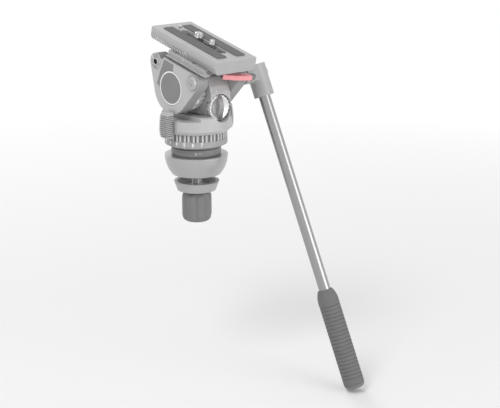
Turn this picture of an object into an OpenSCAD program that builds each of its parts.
// Fluid-damped pan and tilt head with sliding plate and pan bar
// Millimetres. +Z up along the pan axis, +Y forward along the lens, +X to the head's right.
// The origin is the centre of the levelling half ball.

/* [Base] */
// Diameter of the levelling half ball
ball_d = 75; // [70:1:80]
// Depth of the half ball below its centre
ball_depth = 24; // [21:0.5:26]
// Diameter of the fixed base above the ball
base_d = 59; // [58:0.5:62]
// Height of the fixed base above the ball's centre
base_h = 10; // [8:0.5:14]
// Diameter of the tie-down stud
stud_d = 12; // [8:1:14]
// Diameter of the pan spindle
spindle_d = 26; // [22:1:27]
// Diameter of the bowl clamp cup
cup_d = 54; // [46:1:60]
// Height of the bowl clamp cup
cup_h = 11; // [9:0.5:13]
// Gap between the ball and the cup, where the tripod bowl sits
cup_gap = 9; // [6:0.5:12]
// Diameter of the tie-down handle
knob_d = 36; // [30:1:44]
// Height of the tie-down handle
knob_h = 38; // [34:1:42]

/* [Pan unit] */
// Diameter of the pan housing
housing_d = 85; // [83:0.5:90]
// Height of the pan housing
housing_h = 21; // [20.5:0.5:23]
// Diameter of the pan drag ring
pan_ring_d = 74; // [72:0.5:78]
// Height of the ribbed grip of the pan drag ring
pan_grip_h = 8; // [6:0.5:10]
// Height of the number band of the pan drag ring
pan_band_h = 7; // [5:0.5:9]
// Height of the tapered foot of the pan drag ring
pan_foot_h = 3; // [2:0.5:4]
// Number of rib pairs round the pan drag ring
pan_rib_pairs = 22; // [16:1:26]

/* [Tilt unit] */
// Height of the tilt axis above the pan housing's underside
tilt_rise = 53; // [52:0.5:58]
// Lens-up angle of the tilting top as stored
rest_tilt = 14.5; // [0:0.5:20]
// Diameter of the tilt drum
drum_d = 55; // [52:0.5:56]
// Distance of the rear face from the tilt axis
rear_reach = 36; // [34:0.5:36.5]
// Diameter of the tilt drag ring
tilt_ring_d = 58; // [57:0.5:59]
// Diameter of the counterbalance dial
dial_d = 30; // [24:0.5:31]
// Distance of the dial's rim inside the right side of the tilt body
dial_side = 0.9; // [0.5:0.1:3]
// Depth of the dial's centre below the tilt axis
dial_drop = 23.5; // [22.5:0.5:24]
// Diameter of the tilt shaft
tilt_shaft_d = 16; // [12:0.5:17]

/* [Tilting top] */
// Width over the two side arms
arms_w = 75; // [74:0.5:78]
// Thickness of a side arm
arm_t = 14.5; // [13.5:0.5:14.5]
// Diameter of the round lower end of a side arm
arm_d = 60; // [57:0.5:60]
// Distance of the rear rosette behind the tilt axis
rear_rosette = 35; // [33:0.5:37]
// Distance of the front rosette ahead of the tilt axis
front_rosette = 32.5; // [31:0.5:34]
// Height of the rosettes above the tilt axis
rosette_up = 20.5; // [19:0.5:21]
// Diameter of a rosette
rosette_d = 17; // [15:0.5:17.5]
// Height of the arms' top edge above the tilt axis
arm_top = 30.5; // [30:0.5:32]
// Height of the platform's top above the tilt axis
platform_top = 39; // [38.5:0.5:41]
// Length of the platform
platform_len = 66; // [60:1:70]

/* [Balance plate] */
// Length of the sliding balance plate
plate_len = 120; // [110:1:130]
// Width of the balance plate at its top
plate_w = 64; // [60:1:68]
// Thickness of the balance plate above the platform
plate_t = 15; // [13:0.5:17]

/* [Pan bar] */
// Diameter of the pan bar tube
bar_d = 14; // [11:0.5:15]
// Length of the pan bar tube that shows
bar_len = 240; // [180:5:300]
// Diameter of the grip
grip_d = 25; // [20:0.5:28]
// Length of the grip
grip_len = 118; // [90:1:130]
// Angle of the bar below the level when the top is level
bar_drop = 55; // [40:1:70]
// Outward splay of the bar
bar_splay = 5; // [0:0.5:8]

/* [Hidden] */
$fn = 96;

// Shared clearances
// Overrun of every cut past the face it opens
over = 1;
// Running fit between turning parts, on the radius
run = 0.06;
// Gap between faces that pass each other
gap = 0.5;
// Seat clearance of parts that are pushed into a pocket
seat = 0.1;
// Inset that keeps blended outlines crossing
inset = 0.02;

// Base values
ball_r = ball_d / 2;
base_r = base_d / 2;
stud_r = stud_d / 2;
spindle_r = spindle_d / 2;
ball_cavity_r = 24;
ball_floor = 6;
ball_boss_r = 12;
stud_grip = 7;
base_edge = 1.5;
flange_r = 20;
flange_h = 3;
spindle_screw_r = 2.5;
spindle_head_r = 4;
spindle_head_h = 2.5;
spindle_pcd_r = 16.5;
nut_across = 34;
nut_h = 3.2;
cup_r = cup_d / 2;
cup_wall = 4;
knob_r = knob_d / 2;
knob_flutes = 8;
flute_r = 3.5;
knob_edge = 3;
stud_grooves = 7;
cup_top = -ball_depth - cup_gap;
knob_top = cup_top - cup_h - gap;
stud_end = knob_top - knob_h + 2 * cup_wall;

// Pan unit values
housing_r = housing_d / 2;
pan_ring_r = pan_ring_d / 2;
pan_ring_z = base_h + gap;
pan_ring_h = pan_grip_h + pan_band_h + pan_foot_h;
housing_z = pan_ring_z + pan_ring_h + gap;
housing_top = housing_z + housing_h;
housing_wall = 6;
housing_cavity_r = housing_r - housing_wall;
cover_t = 3;
cavity_h = 12.5;
cavity_top = housing_z + cavity_h;
sleeve_r = 30;
sleeve_bore_r = 24;
sleeve_foot = pan_ring_z + gap;
clip_t = 1.2;
clip_stand = 2;
clip_r = sleeve_r + clip_stand;
clip_z = sleeve_foot + gap;
rib_t = 2;
rib_w = 2.4;
rib_gap = 2;
foot_inset = 6;
housing_bevel = 4;
housing_edge = 1.5;
side_step = 5;
arm_inner = arms_w / 2 - arm_t;
arm_outer = arms_w / 2;
flat_cut = 3;
flat_x = housing_r - flat_cut;
race_t = 2.4;
ball_bearing_r = 1.6;
race_h = 4.4;
balls_n = 12;
lower_bearing_z = base_h + flange_h + spindle_head_h + gap;
upper_bearing_z = cavity_top + gap;
disc_t = 0.9;
disc_gap = 0.35;
disc_z = housing_z + cover_t + gap;
fixed_disc_r = 32;
moving_disc_bore_r = 18;
discs_n = 1;
brake_drum_h = 4.6;
brake_nose_r = 2;

// Tilt unit values
tilt_z = housing_z + tilt_rise;
drum_r = drum_d / 2;
body_left = 7.5;
body_right = arm_inner - gap;
tilt_ring_r = tilt_ring_d / 2;
arm_gap = 1;
tilt_ring_w = arm_inner - body_left - gap - arm_gap;
tilt_ring_x = -body_left - gap - tilt_ring_w;
tilt_band_share = 0.6;
body_back_shares = [[1, -0.22], [0.93, 0.07], [0.78, 0.44], [0.56, 0.65]];
body_front_shares = [[0.3, 0.8], [0.85, 0]];
tilt_discs_n = 2;
core_r = 22;
core_bore_r = 18.5;
core_wall = 3.5;
core_left = -body_right;
spring_room_r = 20;
tilt_shaft_r = tilt_shaft_d / 2;
bush_t = 2.4;
spring_cover_t = 3.5;
springs_n = 3;
spring_room_w = body_left + body_right - core_wall - spring_cover_t - 2 * gap;
spring_w = spring_room_w / springs_n - gap;
spring_t = 5;
dial_r = dial_d / 2;
dial_x = body_right - dial_r - dial_side;
dial_room = 1.2;
dial_t = 5;
dial_bar_w = 6;
dial_bar_h = 4.6;
dial_bar_end_share = 0.12;
dial_dish = 2;
dial_sink = 1.4;
dial_face = rear_reach - dial_sink;
dial_floor = dial_face - dial_t - dial_room;
dial_dish_shares = [0.55, 0.85];
dial_bar_share = 0.88;
dial_shaft_r = 4;
dial_shaft_len = 16;
dial_rim_notches = 20;
tilt_rib_n = 30;
tilt_rib_w = 2.6;
tilt_rib_cut = 1;

// Brake lever values
lever_w = 13;
lever_t = 10;
lever_h = 32;
lever_rise = 10;
lever_pivot_z = housing_z + lever_rise;
lever_above = 17;
lever_gap = 1.4;
lever_x = max(flat_x, arm_outer) + lever_gap;
lever_y = -2;
lever_ribs = 11;
lever_rib_cut = 0.9;
lever_corner = 3.5;
lever_shares = [[0, 0], [0.55, 0], [0.85, 0.05], [1.02, 0.14], [1.1, 0.28], [1.1, 0.44], [1.04, 0.66],
  [0.93, 0.84],
  [0.78, 0.96], [0.62, 1], [0, 1]];
brake_shaft_r = 4;
pad_reach = housing_cavity_r - seat;

// Tilting top values
lobe_r = 10.2;
badge_d = 40;
badge_r = badge_d / 2;
badge_depth = 1.4;
rosette_t = 4;
rosette_stand = 0.8;
rosette_teeth = 20;
tooth_w = 1.1;
tooth_cut = 0.9;
rosette_bore_r = 3.3;
cap_edge = 1;
cap_t = 2.6;
cap_bolt_r = 3;
cap_bolt_h = 1.2;
arm_screw_r = 1.5;
arm_screw_head_r = 2.4;
arm_screw_len = 12;
arm_screw_shares = [-0.75, 0.35];
arm_screw_spots = arm_top * arm_screw_shares;
screw_side_share = 0.4;
arm_screw_x = arm_inner + arm_t * screw_side_share;
platform_deep = 5.4;
platform_mid = platform_top - platform_deep;
platform_side = 6;
platform_w = arms_w - 2 * platform_side;
ridge_side = 3;
ridge_w = arms_w - 2 * ridge_side;
ridge_drop = 6.8;
ridge_low = platform_top - ridge_drop;
ridge_t = 1.7;
platform_back = 11;
platform_rear = -rear_rosette - platform_back;
channel_side = 12.5;
channel_w = platform_w - 2 * channel_side;
channel_depth = 3.6;
dovetail_lip = 2;
jaw_w = 5.5;
jaw_len = 36;
jaw_play = 0.35;
lock_lever_len = 30;
lock_lever_w = 9;
lock_lever_t = 5;
lock_pivot_f = 1;
lock_bite = 2;
lock_reach = ridge_w / 2 + lock_bite;
release_t = 5.5;
release_drop = 6.1;
release_up = arm_top - release_drop;
release_pivot_r = 2.6;
button_r = 2.5;
button_h = 4;
button_sink = 4.8;
button_bore = 12;

// Balance plate values
plate_bottom = platform_top + seat;
plate_top = plate_bottom + plate_t;
plate_foot_w = 54;
plate_corner = 6;
tongue_h = channel_depth - gap;
slot_w = 10;
slot_inset = 22;
slot_len = plate_len - 2 * slot_inset;
slot_floor = 4;
pad_t = 1.2;
pad_w = 14;
pad_inset = 10;
pad_len = plate_len - 2 * pad_inset;
pad_gap = 2;
pad_corner = 2;
thread_large_r = 4.76;
thread_small_r = 3.17;
screw_head_r = 8;
screw_head_h = 5;
screw_stand = 6;
neck_cut = 0.8;
socket_share = 0.7;
large_screw_f = 10;
small_screw_f = -14;
pin_r = 2;
pin_inset = 16;
pin_f = plate_len / 2 - pin_inset;
plate_shift = -2;

// Pan bar values
bar_r = bar_d / 2;
bracket_x = arm_outer + rosette_stand;
bracket_r = 11;
bracket_t = 13;
bracket_flat_share = 0.85;
bar_out = 23.7;
bar_x = bracket_x + bar_out;
clamp_r = 12;
clamp_len = 38;
bar_back = 10;
screw_shank_r = 3;
grip_r = grip_d / 2;
grip_shoulder = 14;
grip_lip = 2;
grip_cap_h = 5;
grip_cap_edge = 2;
bar_socket = 60;
bar_wall = 1.5;

// Values that pieces share
ball_path_r = spindle_r + race_t + seat + ball_bearing_r / 2 + seat;
bubble_y = 31;
bubble_r = 7;
bubble_side = 1.5;
bubble_x = body_right - bubble_r - bubble_side;
cup_skin = 1;
bubble_sink = 3;
bubble_h = 7;
rear_spot = [-rear_rosette, rosette_up];
front_spot = [front_rosette, rosette_up];
arm_r = arm_d / 2;
platform_front = platform_rear + platform_len;
notch_r = 3.5;
badge_shares = [[0.05, 1.42], [0.93, 1.42], [1.12, 0.6], [1.25, -0.2], [0.9, -0.3], [0, 0]];
plate_shares = [[0, 0], [0.9, 0.5], [1, 0.72], [0.75, 0.93], [0.5, 1]];
jaw_travel = 1.2;
lock_up = (platform_top + ridge_low + ridge_t) / 2;
lock_shaft_r = 1.8;
lock_hub_r = 5.4;
lock_hub_t = 8;
lock_hang = 25;
lock_face = arm_outer + rosette_stand + gap;
release_x = 3;
release_inset = 4.5;
release_f = platform_rear + release_inset;
tip_share = 0.8;
release_len = 36;
release_grip = 4;
release_shares = [[-0.12, -0.1], [-0.02, 0.12], [0.12, 0.1], [0.3, -0.04], [0.55, -0.17], [0.9, -0.24],
  [1, -0.32], [0.98, -0.43], [0.75, -0.47], [0.25, -0.3]];
release_head_r = 4;
release_head_h = 1.2;
button_side = 6.5;
button_x = button_side - platform_w / 2;
ring_t = 1.5;
pin_stand = 5;
pin_root_r = 2.5;
bar_gap = 0.3;
screw_head_room = 6;
socket_wall = 2;
socket_floor = bar_back + screw_head_room + socket_wall;

// Placement helpers
module along_x(x = 0) { translate([x, 0, 0]) rotate([0, 90, 0]) children(); }
module to_rear(y = 0) { translate([0, y, 0]) rotate([90, 0, 0]) children(); }
module at_tilt() { translate([0, 0, tilt_z]) children(); }
module top_pose() { translate([0, 0, tilt_z]) rotate([rest_tilt, 0, 0]) children(); }
module side_profile(x, w) { translate([x, 0, 0]) rotate([90, 0, 90]) linear_extrude(w) children(); }
module end_profile(y, l) { translate([0, y, 0]) rotate([90, 0, 0]) linear_extrude(l) children(); }
module block(low, high) { translate(low) cube(high - low); }
module ring(r_out, r_in, h) {
  difference() {
    cylinder(r = r_out, h = h);
    translate([0, 0, -over]) cylinder(r = r_in, h = h + 2 * over);
  }
}
module round_about(n) { for (i = [0 : n - 1]) rotate([0, 0, 360 / n * i]) children(); }

function tangent(c1, r1, c2, r2, side) =
  let (d = c2 - c1, a = atan2(d[1], d[0]) + side * acos((r1 - r2) / norm(d)))
  [c1 + r1 * [cos(a), sin(a)], c2 + r2 * [cos(a), sin(a)]];
function backward(list) = [for (i = [len(list) - 1 : -1 : 0]) list[i]];
function rounded_box(w, l, r, steps = 6) = [
  for (k = [0 : 3], i = [0 : steps])
    let (a = 90 * k + 90 / steps * i, sx = (k == 0 || k == 3) ? 1 : -1, sy = k < 2 ? 1 : -1)
    [sx * (w / 2 - r) + r * cos(a), sy * (l / 2 - r) + r * sin(a)]
];

// Base
module half_ball() {
  color("darkgray")
  difference() {
    intersection() {
      sphere(r = ball_r);
      translate([0, 0, -ball_depth]) cylinder(r = ball_r + over, h = ball_depth);
    }
    difference() {
      translate([0, 0, -ball_depth + ball_floor]) cylinder(r = ball_cavity_r, h = ball_depth);
      translate([0, 0, -ball_depth]) cylinder(r = ball_boss_r, h = ball_depth + over);
    }
    translate([0, 0, -ball_depth - over]) cylinder(r = stud_r + seat, h = ball_depth + 2 * over);
  }
}
module base_plate() {
  color("gray")
  difference() {
    union() {
      cylinder(r1 = base_r - base_edge, r2 = base_r, h = base_edge);
      translate([0, 0, base_edge]) cylinder(r = base_r, h = base_h - 2 * base_edge);
      translate([0, 0, base_h - base_edge]) cylinder(r1 = base_r, r2 = base_r - base_edge, h = base_edge);
    }
    translate([0, 0, -over]) cylinder(r = stud_r + seat, h = stud_grip + over);
    round_about(4) translate([spindle_pcd_r, 0, base_h - stud_grip])
      cylinder(r = spindle_screw_r + seat, h = base_h);
  }
}
module tie_down_stud() {
  color("silver")
  difference() {
    translate([0, 0, stud_end]) cylinder(r = stud_r, h = stud_grip - gap - stud_end);
    for (k = [1 : stud_grooves])
      translate([0, 0, stud_end + k * stud_r / 2])
        ring(stud_r + over, stud_r - inset * stud_d, stud_r / 4);
  }
}
module pan_spindle() {
  color("silver")
  difference() {
    union() {
      translate([0, 0, base_h]) cylinder(r = flange_r, h = flange_h);
      translate([0, 0, base_h]) cylinder(r = spindle_r, h = upper_bearing_z + race_h + nut_h - base_h);
    }
    round_about(4) translate([spindle_pcd_r, 0, base_h - over])
      cylinder(r = spindle_screw_r + seat, h = flange_h + 2 * over);
    translate([0, 0, base_h + flange_h]) cylinder(r = stud_r, h = housing_top);
  }
}
module spindle_screws() {
  color("dimgray")
  round_about(4) translate([spindle_pcd_r, 0, 0]) {
    translate([0, 0, base_h - stud_grip + gap])
      cylinder(r = spindle_screw_r, h = stud_grip - gap + flange_h + spindle_head_h);
    translate([0, 0, base_h + flange_h]) cylinder(r = spindle_head_r - gap, h = spindle_head_h);
  }
}
module spindle_nut() {
  color("dimgray")
  translate([0, 0, upper_bearing_z + race_h])
  difference() {
    cylinder(d = nut_across, h = nut_h, $fn = 6);
    translate([0, 0, -over]) cylinder(r = spindle_r + seat, h = nut_h + 2 * over);
  }
}

// Races and balls share one path radius
function outer_race_r() = ball_path_r + ball_bearing_r / 2 + race_t;
module race(r_out, r_in) {
  difference() {
    ring(r_out, r_in, race_h);
    translate([0, 0, race_h / 2]) rotate_extrude() translate([ball_path_r, 0])
      circle(r = ball_bearing_r + run);
  }
}
module each_bearing() { for (z = [lower_bearing_z, upper_bearing_z]) translate([0, 0, z]) children(); }
module pan_inner_races() {
  color("lightsteelblue") each_bearing() race(ball_path_r - ball_bearing_r / 2, spindle_r + run);
}
module pan_outer_races() {
  color("lightsteelblue") each_bearing() race(outer_race_r(), ball_path_r + ball_bearing_r / 2);
}
module pan_bearing_balls() {
  color("white") each_bearing() round_about(balls_n)
    translate([ball_path_r, 0, race_h / 2]) sphere(r = ball_bearing_r - run, $fn = 32);
}

// Bowl clamp
module clamp_cup() {
  color("gray")
  translate([0, 0, cup_top - cup_h])
  difference() {
    cylinder(r1 = cup_r - cup_wall, r2 = cup_r, h = cup_h);
    translate([0, 0, cup_wall])
      cylinder(r1 = cup_r - 2 * cup_wall, r2 = cup_r - cup_wall, h = cup_h - cup_wall + inset);
    translate([0, 0, -over]) cylinder(r = stud_r + seat, h = cup_h + over);
  }
}
module tie_down_handle() {
  color("dimgray")
  translate([0, 0, knob_top - knob_h])
  difference() {
    union() {
      cylinder(r1 = knob_r - knob_edge, r2 = knob_r, h = knob_edge);
      translate([0, 0, knob_edge]) cylinder(r = knob_r, h = knob_h - 2 * knob_edge);
      translate([0, 0, knob_h - knob_edge]) cylinder(r1 = knob_r, r2 = stud_d, h = knob_edge);
    }
    round_about(knob_flutes) translate([knob_r + flute_r / 2, 0, -over])
      cylinder(r = flute_r, h = knob_h - 2 * knob_edge);
    translate([0, 0, cup_wall]) cylinder(r = stud_r + seat, h = knob_h);
  }
}

// Pan housing and what it holds
module dial_cut(deep) {
  translate([dial_x, -deep, -dial_drop]) rotate([90, 0, 0])
    cylinder(r = dial_r + dial_room, h = housing_r);
}
module brake_bore(side) {
  translate([0, lever_y, lever_pivot_z]) mirror([side < 0 ? 1 : 0, 0, 0])
    along_x(fixed_disc_r) cylinder(r = brake_shaft_r + run, h = housing_r);
}
module pan_housing() {
  color("lightgray")
  difference() {
    translate([0, 0, housing_z]) union() {
      cylinder(r1 = housing_r - housing_bevel, r2 = housing_r, h = housing_bevel);
      translate([0, 0, housing_bevel])
        cylinder(r = housing_r, h = housing_h - housing_bevel - housing_edge);
      translate([0, 0, housing_h - housing_edge])
        cylinder(r1 = housing_r, r2 = housing_r - housing_edge, h = housing_edge);
    }
    translate([0, 0, housing_z - over]) cylinder(r = housing_cavity_r, h = cavity_top - housing_z + over);
    translate([0, 0, cavity_top - over]) cylinder(r = outer_race_r() + run, h = housing_top);
    for (s = [-1, 1]) {
      block([s > 0 ? arm_inner - gap : -housing_r, -housing_r, housing_top - side_step],
            [s > 0 ? housing_r : gap - arm_inner, housing_r, housing_top + over]);
      block([s > 0 ? flat_x : -housing_r - over, -lever_w - gap, housing_z - over],
            [s > 0 ? housing_r + over : -flat_x, lever_w + gap, housing_top]);
      brake_bore(s);
    }
    translate([0, 0, tilt_z]) dial_cut(dial_floor);
    translate([0, housing_r - housing_wall / 2, lever_pivot_z]) rotate([-90, 0, 0])
      cylinder(r = ball_bearing_r, h = housing_wall);
    translate([bubble_x, bubble_y, housing_top - bubble_sink])
      cylinder(r = bubble_r + run, h = housing_top);
  }
}
module housing_cover() {
  color("dimgray")
  difference() {
    union() {
      translate([0, 0, housing_z]) cylinder(r = housing_cavity_r - seat, h = cover_t);
      translate([0, 0, sleeve_foot]) cylinder(r = sleeve_r, h = housing_z - sleeve_foot + cover_t);
    }
    translate([0, 0, sleeve_foot - over]) cylinder(r = outer_race_r() + run, h = housing_z + over);
    translate([0, 0, sleeve_foot - over])
      cylinder(r = sleeve_bore_r, h = lower_bearing_z - sleeve_foot + over);
    translate([0, 0, lower_bearing_z + race_h]) cylinder(r = sleeve_bore_r, h = housing_h);
    translate([0, 0, clip_z]) ring(sleeve_r + over, clip_r - 2 * clip_t - run, clip_t + run);
  }
}
module ring_clip() {
  color("silver")
  translate([0, 0, clip_z]) difference() {
    ring(clip_r, clip_r - 2 * clip_t, clip_t);
    block([0, -clip_t, -over], [clip_r + over, clip_t, clip_t + over]);
  }
}
module disc_stack(r_out, r_in, start, n) {
  for (k = [0 : n - 1]) translate([0, 0, start + 2 * k * (disc_t + disc_gap)]) ring(r_out, r_in, disc_t);
}
module pan_fixed_discs() {
  color("goldenrod") {
    disc_stack(fixed_disc_r, spindle_r + run, disc_z, discs_n + 1);
    translate([0, 0, cavity_top - disc_gap - brake_drum_h])
      ring(fixed_disc_r, spindle_r + run, brake_drum_h);
  }
}
module pan_moving_discs() {
  color("peru") disc_stack(housing_cavity_r - seat, moving_disc_bore_r, disc_z + disc_t + disc_gap,
    discs_n);
}
module pan_brake_pad() {
  color("brown")
  translate([0, lever_y, lever_pivot_z]) mirror([1, 0, 0]) difference() {
    along_x(fixed_disc_r - over) cylinder(r = brake_nose_r, h = pad_reach - fixed_disc_r);
    translate([0, -lever_y, -brake_drum_h]) cylinder(r = fixed_disc_r + disc_gap, h = 2 * brake_drum_h);
  }
}
module bubble_cup() {
  color("dimgray")
  translate([bubble_x, bubble_y, housing_top - bubble_sink]) difference() {
    cylinder(r = bubble_r, h = bubble_h);
    translate([0, 0, cup_skin]) cylinder(r = bubble_r - cup_skin, h = bubble_h);
  }
}
module bubble_vial() {
  color("palegreen")
  translate([bubble_x, bubble_y, housing_top - bubble_sink + cup_skin])
    cylinder(r = bubble_r - cup_skin - run, h = bubble_h - cup_skin - gap);
}
module pan_drag_ring() {
  color("darkgray")
  translate([0, 0, pan_ring_z]) difference() {
    union() {
      cylinder(r1 = pan_ring_r - foot_inset, r2 = pan_ring_r, h = pan_foot_h);
      translate([0, 0, pan_foot_h]) cylinder(r = pan_ring_r, h = pan_band_h);
      translate([0, 0, pan_foot_h]) cylinder(r = pan_ring_r - rib_t, h = pan_ring_h - pan_foot_h);
      intersection() {
        translate([0, 0, pan_foot_h]) cylinder(r = pan_ring_r, h = pan_ring_h - pan_foot_h);
        round_about(pan_rib_pairs) for (s = [-1, 1])
          translate([pan_ring_r - 2 * rib_t, s * (rib_w + rib_gap) / 2 - rib_w / 2,
            pan_foot_h + pan_band_h / 2])
            cube([3 * rib_t, rib_w, pan_grip_h + pan_band_h / 2]);
      }
    }
    translate([0, 0, -over]) cylinder(r = sleeve_r + run, h = pan_ring_h + 2 * over);
    translate([0, 0, -over]) cylinder(r = clip_r + run, h = clip_z + clip_t + run - pan_ring_z + over);
  }
}

// Brake levers on the two flats of the housing
module lever_side(side) { translate([0, lever_y, lever_pivot_z]) mirror([side < 0 ? 1 : 0, 0, 0])
  children(); }
module lever_body(width) {
  intersection() {
    translate([lever_x, width / 2, lever_above - lever_h]) rotate([90, 0, 0]) linear_extrude(width)
      polygon([for (p = lever_shares) [lever_t * p[0], lever_h * p[1]]]);
    side_profile(lever_x, 2 * lever_t) translate([0, lever_above - lever_h / 2])
      polygon(rounded_box(lever_w, lever_h, lever_corner));
  }
}
module brake_lever(side) {
  rib_step = (lever_h - 2 * lever_corner) / lever_ribs;
  lever_side(side) difference() {
    lever_body(lever_w);
    // The grooves run round both edges and the outer face, down to the same body, shrunk
    difference() {
      for (k = [0 : lever_ribs - 1])
        translate([lever_x - over, -lever_w, lever_above - lever_h + lever_corner + rib_step * k])
          cube([2 * lever_t, 2 * lever_w, rib_step / 2]);
      translate([-lever_rib_cut, 0, 0]) lever_body(lever_w - 2 * lever_rib_cut);
    }
    along_x(lever_x - over) cylinder(r = brake_shaft_r + seat, h = lever_t / 2 + over);
  }
}
module brake_shaft(side) {
  start = housing_cavity_r;
  lever_side(side) along_x(start) cylinder(r = brake_shaft_r, h = lever_x + lever_t / 2 - start - seat);
}
module pan_brake_lever() { color("gray") brake_lever(-1); }
module pan_brake_shaft() { color("silver") brake_shaft(-1); }
module tilt_brake_lever() { color("gray") brake_lever(1); }
module tilt_brake_shaft() { color("silver") brake_shaft(1); }

// Tilt unit
module body_outline() {
  polygon([
    [-rear_reach, housing_top - tilt_z],
    for (p = body_back_shares) [-rear_reach * p[0], drum_r * p[1]],
    drum_r * body_front_shares[0],
    [drum_r * body_front_shares[1][0], housing_top - tilt_z]
  ]);
  circle(r = drum_r);
}
module tilt_housing() {
  color("lightgray")
  at_tilt() difference() {
    union() {
      side_profile(-body_left, body_left + body_right) body_outline();
      along_x(core_left) cylinder(r = core_r, h = -core_left);
    }
    along_x(core_left + core_wall) cylinder(r = core_bore_r, h = -core_left - body_left);
    along_x(-body_left + core_wall) cylinder(r = spring_room_r, h = body_right + body_left);
    along_x(core_left - over) cylinder(r = tilt_shaft_r + bush_t, h = 3 * body_right);
    dial_cut(dial_floor);
    translate([dial_x, 0, -dial_drop]) to_rear(-dial_face + dial_shaft_len + dial_t / 2 + gap)
      cylinder(r = dial_shaft_r + run, h = rear_reach);
    translate([bubble_x, bubble_y, housing_top - tilt_z - bubble_sink])
      cylinder(r = bubble_r + gap, h = bubble_h + bubble_sink);
  }
}
module on_shaft(x) { at_tilt() along_x(x) children(); }
module tilt_fixed_discs() {
  color("goldenrod")
  for (k = [0 : tilt_discs_n]) on_shaft(core_left + core_wall + gap + 2 * k * (disc_t + disc_gap))
    ring(core_bore_r - run, tilt_shaft_r + bush_t, disc_t);
}
module tilt_moving_discs() {
  color("peru")
  for (k = [0 : tilt_discs_n - 1])
    on_shaft(core_left + core_wall + gap + (2 * k + 1) * (disc_t + disc_gap))
    ring(core_bore_r - 2 * gap, tilt_shaft_r + seat, disc_t);
}
module tilt_bushes() {
  color("goldenrod") {
    on_shaft(core_left) ring(tilt_shaft_r + bush_t - run, tilt_shaft_r + run, core_wall);
    on_shaft(body_right - spring_cover_t)
      ring(tilt_shaft_r + bush_t - run, tilt_shaft_r + run, spring_cover_t);
  }
}
module counterbalance_springs() {
  color("steelblue")
  for (k = [0 : springs_n - 1]) on_shaft(-body_left + core_wall + gap + k * (spring_w + gap))
    ring(tilt_shaft_r + bush_t + spring_t, tilt_shaft_r + 2 * gap, spring_w);
}
module spring_cover() {
  color("dimgray")
  difference() {
    on_shaft(body_right - spring_cover_t)
      ring(spring_room_r - run, tilt_shaft_r + bush_t, spring_cover_t);
    cover_screw_holes(arm_screw_r / 2 + seat, spring_cover_t + 2 * over);
  }
}
module cover_screw_holes(r, h) {
  for (a = [45 : 90 : 315]) at_tilt() rotate([a, 0, 0])
    translate([body_right - h + over, 0, (spring_room_r + tilt_shaft_r + bush_t) / 2])
    rotate([0, 90, 0]) cylinder(r = r, h = h);
}
module cover_screws() {
  color("silver")
  for (a = [45 : 90 : 315]) at_tilt() rotate([a, 0, 0])
    translate([body_right - spring_cover_t, 0, (spring_room_r + tilt_shaft_r + bush_t) / 2])
      rotate([0, 90, 0]) cylinder(r = arm_screw_r / 2, h = spring_cover_t);
}
module tilt_drag_ring() {
  color("darkgray")
  at_tilt() difference() {
    along_x(tilt_ring_x) cylinder(r = tilt_ring_r, h = tilt_ring_w);
    along_x(tilt_ring_x - over) cylinder(r = core_r + run, h = tilt_ring_w + 2 * over);
    for (k = [0 : tilt_rib_n - 1]) rotate([360 / tilt_rib_n * k, 0, 0])
      translate([tilt_ring_x + tilt_ring_w * tilt_band_share, -tilt_rib_w / 2,
        tilt_ring_r - tilt_rib_cut])
        cube([tilt_ring_w, tilt_rib_w, tilt_rib_cut + over]);
  }
}
module dial_bar() {
  half = dial_r * dial_bar_share;
  rise = dial_bar_h * (1 - dial_bar_end_share);
  bow = (half * half + rise * rise) / (2 * rise);
  intersection() {
    block([-dial_bar_w / 2, -dial_face - dial_bar_h, -half], [dial_bar_w / 2, -dial_face + dial_t / 2, half]);
    translate([0, bow - dial_face - dial_bar_h, 0]) along_x(-dial_bar_w) cylinder(r = bow, h = 2 * dial_bar_w);
  }
}
module counterbalance_dial() {
  color("gray")
  translate([dial_x, 0, tilt_z - dial_drop]) difference() {
    union() {
      to_rear(-dial_face + dial_t) difference() {
        cylinder(r = dial_r, h = dial_t);
        translate([0, 0, dial_t - dial_dish])
          cylinder(r1 = dial_r * dial_dish_shares[0], r2 = dial_r * dial_dish_shares[1], h = dial_dish + inset);
        round_about(dial_rim_notches) translate([dial_r, 0, dial_t / 2]) cylinder(r = dial_dish / 2, h = dial_t);
      }
      dial_bar();
    }
    to_rear(-dial_face + dial_t + over) cylinder(r = dial_shaft_r + run, h = over + dial_t / 2);
  }
}
module dial_shaft() {
  color("silver")
  translate([dial_x, 0, tilt_z - dial_drop]) to_rear(-dial_face + dial_shaft_len + dial_t / 2)
    cylinder(r = dial_shaft_r, h = dial_shaft_len - seat);
}
module tilt_shaft() {
  color("silver") on_shaft(-arms_w / 2 + arm_t / 2) cylinder(r = tilt_shaft_r, h = arms_w - arm_t);
}

// Tilting top
module arm_slab(w = arm_t) { side_profile(arm_inner, w) children(); }
module arm_blank() {
  rear = tangent([0, 0], arm_r - inset, rear_spot, lobe_r - inset, 1);
  front = tangent([0, 0], arm_r - inset, front_spot, lobe_r - inset, -1);
  difference() {
    union() {
      arm_slab() circle(r = arm_r);
      arm_slab() translate(rear_spot) circle(r = lobe_r);
      arm_slab() translate(front_spot) circle(r = lobe_r);
      arm_slab() polygon([
        rear[0], rear[1], rear_spot, [-rear_rosette, arm_top],
        [platform_front, arm_top], front_spot, front[1], front[0]
      ]);
    }
    translate([-over, 0, 0]) arm_slab(arm_t + 2 * over) translate([platform_front + notch_r, arm_top])
      circle(r = notch_r);
    translate([-over, 0, 0]) arm_slab(arm_t + 2 * over)
      translate([-rear_rosette - 2 * lobe_r, arm_top]) square([4 * arm_r + front_rosette, lobe_r]);
  }
}
module badge_outline(grow = 0) {
  circle(r = badge_r + grow);
  polygon(badge_r * badge_shares);
}
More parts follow.
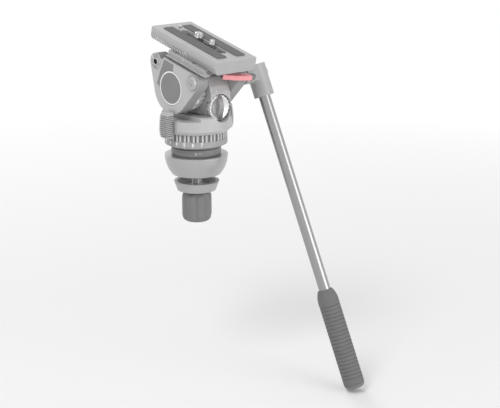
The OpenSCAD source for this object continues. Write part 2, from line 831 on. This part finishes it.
module arm(side) {
  mirror([side < 0 ? 1 : 0, 0, 0]) difference() {
    arm_blank();
    side_profile(arm_outer - badge_depth, arm_t) badge_outline(seat);
    for (spot = [rear_spot, front_spot]) translate([0, spot[0], spot[1]]) {
      along_x(arm_outer - rosette_t + rosette_stand) cylinder(r = rosette_d / 2 + seat, h = rosette_t);
      along_x(arm_inner + arm_t / 4) cylinder(r = rosette_bore_r, h = arm_t);
    }
    along_x(arm_inner - over) cylinder(r = tilt_shaft_r + seat, h = arm_t / 2 + over + seat);
    arm_screw_holes(arm_screw_r + seat);
  }
}
module arm_screw_holes(r) {
  for (p = arm_screw_spots) translate([arm_screw_x, p, arm_top - arm_screw_len])
    cylinder(r = r, h = arm_screw_len + over);
}
module left_arm() { color("silver") top_pose() arm(-1); }
module right_arm() { color("silver") top_pose() arm(1); }
module arm_badges() {
  color("dimgray") top_pose() for (s = [0, 1]) mirror([s, 0, 0])
    side_profile(arm_outer - badge_depth, badge_depth - seat) badge_outline();
}
module rosette() {
  difference() {
    cylinder(r = rosette_d / 2, h = rosette_t);
    translate([0, 0, -over]) cylinder(r = rosette_bore_r, h = rosette_t + 2 * over);
    round_about(rosette_teeth) translate([rosette_bore_r + tooth_w, -tooth_w / 2, rosette_t - tooth_cut])
      cube([rosette_d, tooth_w, tooth_cut + over]);
  }
}
module rosettes() {
  color("white") top_pose() for (s = [0, 1], spot = [rear_spot, front_spot]) mirror([s, 0, 0])
    translate([0, spot[0], spot[1]]) along_x(arm_outer - rosette_t + rosette_stand) rosette();
}
module rosette_cap() {
  color("silver") top_pose() mirror([1, 0, 0]) translate([0, rear_spot[0], rear_spot[1]]) {
    along_x(arm_outer + rosette_stand + inset)
      cylinder(r1 = rosette_d / 2 + seat, r2 = rosette_d / 2 - cap_edge, h = cap_t);
    along_x(arm_outer + rosette_stand + cap_t) difference() {
      cylinder(r = cap_bolt_r, h = cap_bolt_h);
      translate([0, 0, cap_bolt_h / 2]) cylinder(r = cap_bolt_r / 2, h = cap_bolt_h, $fn = 6);
    }
    along_x(arm_outer - rosette_t)
      cylinder(r = rosette_bore_r - seat, h = rosette_t + rosette_stand + cap_t / 2);
  }
}
module arm_screws() {
  color("dimgray") top_pose() for (s = [0, 1], p = arm_screw_spots) mirror([s, 0, 0])
    translate([arm_screw_x, p, 0]) {
      translate([0, 0, arm_top - arm_screw_len + gap])
        cylinder(r = arm_screw_r, h = arm_screw_len + platform_top - arm_top - 2 * gap);
      translate([0, 0, platform_top - arm_screw_head_r])
        cylinder(r = arm_screw_head_r, h = arm_screw_head_r - gap);
    }
}
function dovetail_x(u)
  = channel_w / 2 - dovetail_lip * (1 + (u - platform_top + channel_depth) / channel_depth);
module channel_outline(grow) {
  floor_u = platform_top - channel_depth;
  polygon([
    [-dovetail_x(platform_top) - grow, platform_top + over],
      [-dovetail_x(platform_top) - grow, platform_top],
    [-dovetail_x(floor_u) - grow, floor_u], [channel_w / 2 + jaw_w, floor_u],
      [channel_w / 2 + jaw_w, platform_top + over]
  ]);
}
module platform() {
  color("gray") top_pose() difference() {
    union() {
      block([-platform_w / 2, platform_rear, arm_top + inset],
        [platform_w / 2, platform_front, platform_top]);
      block([-ridge_w / 2, platform_rear, ridge_low], [ridge_w / 2, platform_front, ridge_low + ridge_t]);
    }
    block([-arm_inner, platform_rear - over, arm_top - over],
      [arm_inner, platform_front + over, platform_mid]);
    end_profile(platform_front + over, platform_len + 2 * over) channel_outline(run);
    for (s = [0, 1], p = arm_screw_spots) mirror([s, 0, 0]) translate([arm_screw_x, p, 0]) {
      translate([0, 0, arm_top - over]) cylinder(r = arm_screw_r + seat, h = platform_top);
      translate([0, 0, platform_top - arm_screw_head_r])
        cylinder(r = arm_screw_head_r + seat, h = arm_screw_head_r + over);
    }
    translate([0, lock_pivot_f, lock_up]) along_x(channel_w / 2)
      cylinder(r = lock_shaft_r + run, h = platform_w);
    translate([release_x, release_f, arm_top - over])
      cylinder(r = release_pivot_r + seat, h = release_grip + over);
    translate([button_x, platform_rear - over, lock_up]) rotate([-90, 0, 0])
      cylinder(r = button_r + run, h = button_bore);
  }
}
module clamp_jaw() {
  floor_u = platform_top - channel_depth + run;
  low = dovetail_x(floor_u) + run;
  high = dovetail_x(platform_top - gap) + run;
  back = channel_w / 2 + jaw_w - jaw_travel - jaw_play;
  color("silver") top_pose() end_profile(jaw_len / 2 + (platform_front + platform_rear) / 2, jaw_len)
    polygon([
    [high, platform_top - gap], [low, floor_u], [back, floor_u], [back, platform_top - gap]
  ]);
}
module lock_lever() {
  color("gray") top_pose() translate([0, lock_pivot_f, lock_up]) {
    along_x(channel_w / 2 + jaw_w + inset)
      cylinder(r = lock_shaft_r, h = lock_reach - channel_w / 2 - jaw_w);
    along_x(ridge_w / 2 + gap) cylinder(r = lock_hub_r, h = lock_hub_t);
    rotate([lock_hang, 0, 0])
      block([lock_face, -lock_lever_w / 2, -lock_lever_len],
        [lock_face + lock_lever_t, lock_lever_w / 2, 0]);
  }
}
module release_outline() {
  polygon([
    for (p = release_shares) release_len * p
  ]);
}
module release_piece() {
  top_pose() translate([release_x, release_f, release_up]) difference() {
    linear_extrude(release_t) release_outline();
    translate([0, 0, -over]) cylinder(r = release_pivot_r + run, h = release_t + 2 * over);
    translate([0, 0, -over]) cylinder(r = release_head_r + run, h = over + release_head_h + run);
  }
}
module tip_zone() {
  top_pose() translate([release_x + release_len * tip_share, release_f - release_len, release_up - over])
    cube([release_len, 2 * release_len, release_t + 2 * over]);
}
module release_lever() { color("salmon") difference() { release_piece(); tip_zone(); } }
module release_tip() { color("dimgray") intersection() { release_piece(); tip_zone(); } }
module release_pivot() {
  color("silver") top_pose() translate([release_x, release_f, release_up]) {
    cylinder(r = release_pivot_r, h = arm_top + release_grip - release_up - gap);
    cylinder(r = release_head_r, h = release_head_h);
  }
}
module safety_button() {
  color("dimgray") top_pose() translate([button_x, platform_rear - button_h, lock_up]) rotate([-90, 0, 0])
    cylinder(r = button_r, h = button_h + button_sink);
}

// Balance plate
module plate_place() { top_pose() translate([0, plate_shift, 0]) children(); }
module balance_plate() {
  neck = dovetail_x(platform_top);
  foot = dovetail_x(plate_bottom - tongue_h);
  color("darkgray") plate_place() difference() {
    union() {
      intersection() {
        end_profile(plate_len / 2, plate_len) polygon([
          for (s = [1, -1], p = s > 0 ? plate_shares : backward(plate_shares))
            [s * (plate_foot_w / 2 + (plate_w - plate_foot_w) / 2 * p[0]), plate_bottom + plate_t * p[1]]
        ]);
        translate([0, 0, plate_bottom - over]) linear_extrude(plate_t + 2 * over)
          polygon(rounded_box(plate_w + over, plate_len, plate_corner));
      }
      end_profile(plate_len / 2 - plate_corner, plate_len - 2 * plate_corner) polygon([
        [-neck, plate_bottom + seat], [-neck, platform_top], [-foot, plate_bottom - tongue_h],
        [foot, plate_bottom - tongue_h], [neck, platform_top], [neck, plate_bottom + seat]
      ]);
    }
    slot(slot_w, slot_len, plate_bottom - 2 * tongue_h, plate_top + over);
    slot(2 * (screw_head_r + gap), slot_len + slot_w, plate_bottom - 2 * tongue_h,
      plate_top - slot_floor);
    translate([0, pin_f, plate_top - slot_floor]) cylinder(r = pin_root_r + seat, h = slot_floor + over);
  }
}
module slot(w, l, low, high) {
  translate([0, 0, low]) linear_extrude(high - low) {
    square([w, l - w], center = true);
    for (s = [-1, 1]) translate([0, s * (l - w) / 2]) circle(r = w / 2 + inset);
  }
}
module plate_pads() {
  color("dimgray") plate_place() for (s = [-1, 1])
    translate([s * (slot_w / 2 + pad_w / 2 + pad_gap), 0, plate_top]) linear_extrude(pad_t)
      polygon(rounded_box(pad_w, pad_len, pad_corner));
}
module camera_screw(f, r) {
  shank_h = screw_head_h + ring_t + slot_floor + pad_t;
  plate_place() translate([0, f, plate_top - slot_floor - ring_t - screw_head_h]) difference() {
    union() {
      cylinder(r = screw_head_r - gap, h = screw_head_h - seat);
      cylinder(r = r - neck_cut, h = shank_h + screw_stand / 2);
      translate([0, 0, shank_h]) cylinder(r = r, h = screw_stand);
    }
    translate([0, 0, -over]) cylinder(r = r * socket_share, h = screw_head_h / 2 + over, $fn = 6);
  }
}
module screw_ring(f, r) {
  plate_place() translate([0, f, plate_top - slot_floor - ring_t])
    ring(screw_head_r, r - neck_cut + run, ring_t - inset);
}
module large_camera_screw() { color("silver") camera_screw(large_screw_f, thread_large_r); }
module small_camera_screw() { color("silver") camera_screw(small_screw_f, thread_small_r); }
module large_screw_ring() { color("dimgray") screw_ring(large_screw_f, thread_large_r); }
module small_screw_ring() { color("dimgray") screw_ring(small_screw_f, thread_small_r); }
module locating_pin() {
  color("silver") plate_place() translate([0, pin_f, plate_top]) {
    translate([0, 0, seat - slot_floor]) cylinder(r = pin_root_r, h = slot_floor - seat);
    translate([0, 0, -seat]) cylinder(r = pin_r, h = pin_stand - pin_r + seat);
    translate([0, 0, pin_stand - pin_r]) cylinder(r1 = pin_r, r2 = pin_r / 2, h = pin_r / 2);
  }
}

// Pan bar, placed about the right rear rosette
module bar_pose() { top_pose() translate([0, rear_spot[0], rear_spot[1]]) children(); }
module along_bar(start) {
  bar_pose() rotate([bar_drop, 0, 0]) translate([bar_x, 0, 0]) rotate([0, 0, bar_splay])
    translate([0, bar_back - start, 0]) rotate([90, 0, 0]) children();
}
module bar_bracket() {
  bracket_flat = bracket_r * bracket_flat_share;
  color("gray") difference() {
    union() {
      bar_pose() along_x(bracket_x + bar_gap) cylinder(r = bracket_r, h = bracket_t);
      bar_pose() rotate([bar_drop, 0, 0]) block(
        [bracket_x + bar_gap + bracket_t / 3, -bracket_flat, -bracket_flat],
        [bar_x - bar_r / 2, bracket_flat, bracket_flat]);
      along_bar(0) cylinder(r = clamp_r, h = clamp_len);
    }
    along_bar(socket_floor) cylinder(r = bar_r + run, h = clamp_len + over);
    bar_pose() along_x(bracket_x - over) cylinder(r = screw_shank_r + run, h = bar_x + 2 * clamp_r);
    bar_pose() along_x(bracket_x + bracket_t) cylinder(r = screw_head_room + gap, h = bar_x);
  }
}
module bracket_screw() {
  color("silver") bar_pose() difference() {
    union() {
      along_x(arm_inner + arm_t / 2)
        cylinder(r = screw_shank_r, h = bracket_x + bracket_t - arm_inner - arm_t / 2 + over);
      along_x(bracket_x + bracket_t + seat)
        cylinder(r = screw_head_room, h = bar_x + clamp_r - bracket_x - bracket_t);
    }
    along_x(bar_x + clamp_r - over) cylinder(r = screw_shank_r, h = 3 * over, $fn = 6);
  }
}
module pan_bar() {
  color("silver") along_bar(socket_floor + seat)
    ring(bar_r, bar_r - bar_wall, bar_len + clamp_len + bar_socket);
}
module bar_grip() {
  color("gray") along_bar(clamp_len + bar_len) difference() {
    union() {
      cylinder(r1 = bar_r + grip_lip, r2 = grip_r, h = grip_shoulder);
      translate([0, 0, grip_shoulder]) cylinder(r = grip_r, h = grip_len - grip_shoulder);
    }
    translate([0, 0, -over]) cylinder(r = bar_r + run, h = grip_len + 2 * over);
  }
}
module grip_cap() {
  color("dimgray") along_bar(clamp_len + bar_len + grip_len) {
    cylinder(r1 = grip_r, r2 = grip_r - grip_cap_edge, h = grip_cap_h);
  }
}

// Drawing one node or all of them
half_ball();
base_plate();
tie_down_stud();
pan_spindle();
spindle_screws();
spindle_nut();
pan_inner_races();
pan_fixed_discs();
clamp_cup();
tie_down_handle();
pan_housing();
housing_cover();
ring_clip();
pan_outer_races();
pan_bearing_balls();
pan_moving_discs();
pan_brake_pad();
bubble_cup();
bubble_vial();
pan_drag_ring();
pan_brake_lever();
pan_brake_shaft();
tilt_brake_lever();
tilt_brake_shaft();
tilt_housing();
tilt_fixed_discs();
tilt_bushes();
counterbalance_springs();
spring_cover();
cover_screws();
tilt_drag_ring();
counterbalance_dial();
dial_shaft();
tilt_shaft();
tilt_moving_discs();
left_arm();
right_arm();
arm_badges();
rosettes();
rosette_cap();
arm_screws();
platform();
clamp_jaw();
lock_lever();
release_lever();
release_tip();
release_pivot();
safety_button();
balance_plate();
plate_pads();
large_camera_screw();
small_camera_screw();
large_screw_ring();
small_screw_ring();
locating_pin();
bar_bracket();
bracket_screw();
pan_bar();
bar_grip();
grip_cap();
